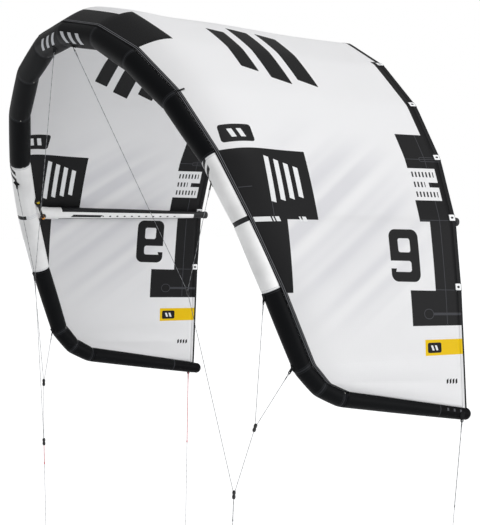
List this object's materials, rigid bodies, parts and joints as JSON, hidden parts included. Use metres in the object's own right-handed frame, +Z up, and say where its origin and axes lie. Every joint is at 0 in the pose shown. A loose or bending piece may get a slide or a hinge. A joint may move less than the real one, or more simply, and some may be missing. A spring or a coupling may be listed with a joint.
{
  "type": "kitesurf kite",
  "caption": "Inflatable kitesurf kite: arched leading-edge tube, struts, light canopy, bridle lines with beads, and pigtails for the flying lines.",
  "frame": {"origin": "centre of the leading-edge tube's section at the middle of its arch", "axes": "+X across the span towards the left wing, +Y rearwards to the trailing edge, +Z up, away from the flying lines"},
  "size_m": [3.3612, 1.8276, 3.5697],
  "materials": {
    "sleeve_black": "woven polyester, matt",
    "sleeve_white": "woven polyester, matt",
    "bladder": "thin film",
    "canopy": "ripstop cloth with a slight sheen",
    "edge_strip": "woven polyester, matt",
    "patches": "woven webbing and cloth",
    "strut": "woven polyester, matt",
    "strut_caps": "moulded, matt",
    "hoses": "satin",
    "elbows": "moulded, satin",
    "clamps": "moulded, satin",
    "valve": "moulded, satin",
    "bridle_line": "braided cord",
    "beads": "turned, satin",
    "pigtail_grey": "braided cord",
    "pigtail_red": "braided cord",
    "flying_line": "braided cord"
  },
  "bodies": {
    "kite": {"le_sleeve_center": "sleeve_black", "le_sleeve_lower_left": "sleeve_black", "le_sleeve_lower_right": "sleeve_black", "le_sleeve_tip_left": "sleeve_black", "le_sleeve_tip_right": "sleeve_black", "le_sleeve_white_left": "sleeve_white", "le_sleeve_white_right": "sleeve_white", "le_bladder": "bladder", "strut_bladders": "bladder", "canopy_center_left": "canopy", "canopy_center_right": "canopy", "canopy_wing_left": "canopy", "canopy_wing_right": "canopy", "trailing_edge_strip_left": "edge_strip", "trailing_edge_strip_right": "edge_strip", "seam_tape_left": "edge_strip", "seam_tape_right": "edge_strip", "trailing_edge_patches": "patches", "bridle_tabs": "patches", "strut_center": "strut", "strut_left": "strut", "strut_right": "strut", "strut_end_caps": "strut_caps", "pump_hoses": "hoses", "hose_elbows": "elbows", "hose_clamps": "clamps", "valve_base": "valve", "bridle_nose_to_upper_left": "bridle_line", "bridle_nose_to_upper_right": "bridle_line", "bridle_white_to_upper_left": "bridle_line", "bridle_white_to_upper_right": "bridle_line", "bridle_strut_to_rear_left": "bridle_line", "bridle_strut_to_rear_right": "bridle_line", "bridle_lower_to_rear_left": "bridle_line", "bridle_lower_to_rear_right": "bridle_line", "bridle_upper_to_main_left": "bridle_line", "bridle_upper_to_main_right": "bridle_line", "bridle_rear_to_main_left": "bridle_line", "bridle_rear_to_main_right": "bridle_line", "bridle_beads": "beads"},
    "valve_cap": {"valve_cap": "valve"},
    "clamp_lever_center": {"clamp_lever_center": "clamps"},
    "clamp_lever_left": {"clamp_lever_left": "clamps"},
    "clamp_lever_right": {"clamp_lever_right": "clamps"},
    "front_line_left": {"front_pigtail_left": "pigtail_grey", "front_line_left": "flying_line", "front_line_knots_left": "flying_line"},
    "front_line_right": {"front_pigtail_right": "pigtail_red", "front_line_right": "flying_line", "front_line_knots_right": "flying_line"},
    "back_line_left": {"back_pigtail_left": "pigtail_grey", "back_line_left": "flying_line", "back_line_knots_left": "flying_line"},
    "back_line_right": {"back_pigtail_right": "pigtail_red", "back_line_right": "flying_line", "back_line_knots_right": "flying_line"}
  },
  "joints": [
    {"name": "valve_cap_hinge", "type": "hinge", "parent": "kite", "child": "valve_cap", "pos_m": [0.24943, 0.09578, -0.07234], "axis": [-0.0755, -0.4683, -0.8804], "range_deg": [0, 135]},
    {"name": "clamp_lever_hinge_center", "type": "hinge", "parent": "kite", "child": "clamp_lever_center", "pos_m": [0.06592, 0.10163, -0.06058], "axis": [-0.4157, -0.5195, -0.7466], "range_deg": [0, 100]},
    {"name": "clamp_lever_hinge_left", "type": "hinge", "parent": "kite", "child": "clamp_lever_left", "pos_m": [1.40181, 0.42446, -1.02303], "axis": [0.6514, 0.4603, 0.6031], "range_deg": [0, 100]},
    {"name": "clamp_lever_hinge_right", "type": "hinge", "parent": "kite", "child": "clamp_lever_right", "pos_m": [-1.40181, 0.42446, -1.02303], "axis": [0.6514, -0.4603, -0.6031], "range_deg": [0, 100]},
    {"name": "front_line_swing_left", "type": "hinge", "parent": "kite", "child": "front_line_left", "pos_m": [1.30413, 0.39973, -2.62993], "axis": [1, 0, 0], "range_deg": [-20, 20]},
    {"name": "front_line_swing_right", "type": "hinge", "parent": "kite", "child": "front_line_right", "pos_m": [-1.30413, 0.39973, -2.62993], "axis": [1, 0, 0], "range_deg": [-20, 20]},
    {"name": "back_line_swing_left", "type": "hinge", "parent": "kite", "child": "back_line_left", "pos_m": [1.6689, 1.67277, -2.23129], "axis": [0.9973, -0.0393, -0.0617], "range_deg": [-25, 25]},
    {"name": "back_line_swing_right", "type": "hinge", "parent": "kite", "child": "back_line_right", "pos_m": [-1.6689, 1.67277, -2.23129], "axis": [0.9973, 0.0393, 0.0617], "range_deg": [-25, 25]}
  ]
}
